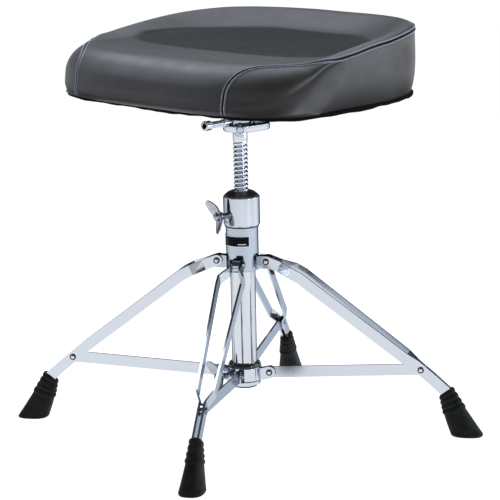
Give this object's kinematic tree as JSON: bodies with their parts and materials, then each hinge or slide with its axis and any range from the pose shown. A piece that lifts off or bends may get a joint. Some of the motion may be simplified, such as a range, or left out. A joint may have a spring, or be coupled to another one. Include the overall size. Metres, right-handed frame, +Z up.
{
  "type": "drum throne",
  "caption": "Height-adjustable padded drum stool: dished vinyl seat on a screwed spindle over a folding chrome base of double-strap legs with rubber feet.",
  "frame": {"origin": "on the floor, on the pole's axis, midway between the four feet", "axes": "+Z up along the pole; -Y towards the front edge of the seat; +X to the sitter's left"},
  "size_m": [0.5598, 0.5598, 0.5642],
  "materials": {
    "chrome": "polished",
    "black_plastic": "satin",
    "brass": "satin",
    "rubber": "matte",
    "vinyl": "satin",
    "plywood": "matte",
    "label": "gloss"
  },
  "bodies": {
    "base": {"centre_tube": "chrome", "leg_housing": "chrome", "upper_collar": "chrome", "top_cap": "black_plastic", "spindle_nut": "brass", "tube_plug": "rubber", "collar_screw": "chrome", "label_plate": "label"},
    "height_bolt": {"height_wing_bolt": "chrome"},
    "spindle": {"threaded_spindle": "chrome"},
    "seat": {"seat_cushion": "vinyl", "seat_board": "plywood", "seat_bracket": "chrome", "bracket_bolt_1": "chrome", "bracket_bolt_2": "chrome", "bracket_bolt_3": "chrome", "bracket_bolt_4": "chrome", "bracket_screw": "chrome"},
    "key_bolt": {"seat_key_bolt": "chrome"},
    "runner": {"runner_band": "chrome", "runner_bushing": "black_plastic", "stay_1_pin": "chrome", "stay_2_pin": "chrome", "stay_3_pin": "chrome", "stay_4_pin": "chrome"},
    "runner_bolt": {"runner_wing_bolt": "chrome"},
    "leg_1": {"leg_1_strap_a": "chrome", "leg_1_strap_b": "chrome", "leg_1_foot": "rubber", "leg_1_hub_pin": "chrome", "leg_1_rivet_a": "chrome", "leg_1_rivet_b": "chrome"},
    "stay_1": {"stay_1": "chrome"},
    "leg_2": {"leg_2_strap_a": "chrome", "leg_2_strap_b": "chrome", "leg_2_foot": "rubber", "leg_2_hub_pin": "chrome", "leg_2_rivet_a": "chrome", "leg_2_rivet_b": "chrome"},
    "stay_2": {"stay_2": "chrome"},
    "leg_3": {"leg_3_strap_a": "chrome", "leg_3_strap_b": "chrome", "leg_3_foot": "rubber", "leg_3_hub_pin": "chrome", "leg_3_rivet_a": "chrome", "leg_3_rivet_b": "chrome"},
    "stay_3": {"stay_3": "chrome"},
    "leg_4": {"leg_4_strap_a": "chrome", "leg_4_strap_b": "chrome", "leg_4_foot": "rubber", "leg_4_hub_pin": "chrome", "leg_4_rivet_a": "chrome", "leg_4_rivet_b": "chrome"},
    "stay_4": {"stay_4": "chrome"}
  },
  "joints": [
    {"name": "spindle_rise", "type": "slide", "parent": "base", "child": "spindle", "axis": [0, 0, 1], "range_m": [-0.066, 0.072]},
    {"name": "seat_turn", "type": "hinge", "parent": "spindle", "child": "seat", "pos_m": [0, 0, 0.4176], "axis": [0, 0, 1], "range_deg": [-3960, 4320]},
    {"name": "height_bolt_turn", "type": "hinge", "parent": "base", "child": "height_bolt", "pos_m": [-0.007, -0.03582, 0.303], "axis": [-0.1917, -0.9815, 0], "range_deg": [0, 720]},
    {"name": "key_bolt_turn", "type": "hinge", "parent": "seat", "child": "key_bolt", "pos_m": [0, -0.041, 0.432], "axis": [0, -1, 0], "range_deg": [0, 720]},
    {"name": "runner_slide", "type": "slide", "parent": "base", "child": "runner", "axis": [0, 0, 1], "range_m": [0, 0.1117]},
    {"name": "runner_bolt_turn", "type": "hinge", "parent": "runner", "child": "runner_bolt", "pos_m": [-0.00786, -0.04024, 0.077], "axis": [-0.1917, -0.9815, 0], "range_deg": [0, 720]},
    {"name": "leg_1_fold", "type": "hinge", "parent": "base", "child": "leg_1", "pos_m": [0.02887, 0.01944, 0.2377], "axis": [-0.5585, 0.8295, 0], "range_deg": [0, 45]},
    {"name": "stay_1_fold", "type": "hinge", "parent": "runner", "child": "stay_1", "pos_m": [0.02961, 0.01994, 0.0791], "axis": [-0.5585, 0.8295, 0], "range_deg": [0, 80.6]},
    {"name": "leg_2_fold", "type": "hinge", "parent": "base", "child": "leg_2", "pos_m": [-0.01944, 0.02887, 0.2377], "axis": [-0.8295, -0.5585, 0], "range_deg": [0, 45]},
    {"name": "stay_2_fold", "type": "hinge", "parent": "runner", "child": "stay_2", "pos_m": [-0.01994, 0.02961, 0.0791], "axis": [-0.8295, -0.5585, 0], "range_deg": [0, 80.6]},
    {"name": "leg_3_fold", "type": "hinge", "parent": "base", "child": "leg_3", "pos_m": [-0.02887, -0.01944, 0.2377], "axis": [0.5585, -0.8295, 0], "range_deg": [0, 45]},
    {"name": "stay_3_fold", "type": "hinge", "parent": "runner", "child": "stay_3", "pos_m": [-0.02961, -0.01994, 0.0791], "axis": [0.5585, -0.8295, 0], "range_deg": [0, 80.6]},
    {"name": "leg_4_fold", "type": "hinge", "parent": "base", "child": "leg_4", "pos_m": [0.01944, -0.02887, 0.2377], "axis": [0.8295, 0.5585, 0], "range_deg": [0, 45]},
    {"name": "stay_4_fold", "type": "hinge", "parent": "runner", "child": "stay_4", "pos_m": [0.01994, -0.02961, 0.0791], "axis": [0.8295, 0.5585, 0], "range_deg": [0, 80.6]}
  ],
  "couplings": [
    {"joint": "spindle_rise", "follows": "seat_turn", "m_per_rad": 0.00095493},
    {"joint": "leg_1_fold", "follows": "runner_slide", "rad_per_m": 7.0274},
    {"joint": "stay_1_fold", "follows": "runner_slide", "rad_per_m": 12.588},
    {"joint": "leg_2_fold", "follows": "runner_slide", "rad_per_m": 7.0274},
    {"joint": "stay_2_fold", "follows": "runner_slide", "rad_per_m": 12.588},
    {"joint": "leg_3_fold", "follows": "runner_slide", "rad_per_m": 7.0274},
    {"joint": "stay_3_fold", "follows": "runner_slide", "rad_per_m": 12.588},
    {"joint": "leg_4_fold", "follows": "runner_slide", "rad_per_m": 7.0274},
    {"joint": "stay_4_fold", "follows": "runner_slide", "rad_per_m": 12.588}
  ]
}
